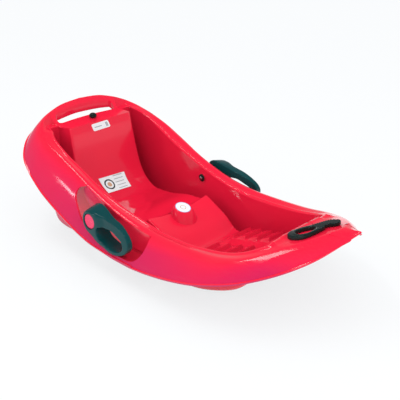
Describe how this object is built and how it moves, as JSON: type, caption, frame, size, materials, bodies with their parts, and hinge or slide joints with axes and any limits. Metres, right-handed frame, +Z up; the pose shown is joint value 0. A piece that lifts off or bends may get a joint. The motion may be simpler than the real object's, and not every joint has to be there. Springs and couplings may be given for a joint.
{
  "type": "bucket sled with hand brakes",
  "caption": "Red moulded bucket sled with a backrest, a rear carrying slot, hand brake levers with steel claws, and a rope holder on the nose.",
  "frame": {"origin": "middle of the bounding box's bottom, where the runners touch the ground", "axes": "+X forward to the nose, +Y to the rider's left, +Z up"},
  "size_m": [0.97, 0.484, 0.311],
  "materials": {
    "red_tub_plastic": "glossy moulded high-density polyethylene, red",
    "red_axle_plastic": "satin moulded plastic, red",
    "anthracite_lever_plastic": "satin moulded plastic, dark teal grey",
    "black_plastic": "satin moulded plastic, black",
    "zinc_plated_steel": "bright zinc plated steel"
  },
  "bodies": {
    "tub": {"tub_shell": "red_tub_plastic", "pivot_axle_left": "red_axle_plastic", "pivot_axle_right": "red_axle_plastic", "pivot_screw_left": "zinc_plated_steel", "pivot_screw_right": "zinc_plated_steel", "pivot_rosette_left": "black_plastic", "pivot_rosette_right": "black_plastic", "rope_holder": "black_plastic", "rope_holder_screw_left": "zinc_plated_steel", "rope_holder_screw_right": "zinc_plated_steel", "rope_stud": "black_plastic", "stud_washer": "zinc_plated_steel", "stud_screw": "zinc_plated_steel"},
    "lever_left": {"brake_lever_left": "anthracite_lever_plastic", "brake_claw_left": "zinc_plated_steel", "claw_screw_left_front": "zinc_plated_steel", "claw_screw_left_rear": "zinc_plated_steel"},
    "lever_right": {"brake_lever_right": "anthracite_lever_plastic", "brake_claw_right": "zinc_plated_steel", "claw_screw_right_front": "zinc_plated_steel", "claw_screw_right_rear": "zinc_plated_steel"}
  },
  "joints": [
    {"name": "brake_pivot_left", "type": "hinge", "parent": "tub", "child": "lever_left", "pos_m": [-0.1205, 0.2125, 0.125], "axis": [0, -1, 0], "range_deg": [0, 48]},
    {"name": "brake_pivot_right", "type": "hinge", "parent": "tub", "child": "lever_right", "pos_m": [-0.1205, -0.2125, 0.125], "axis": [0, -1, 0], "range_deg": [0, 48]}
  ]
}
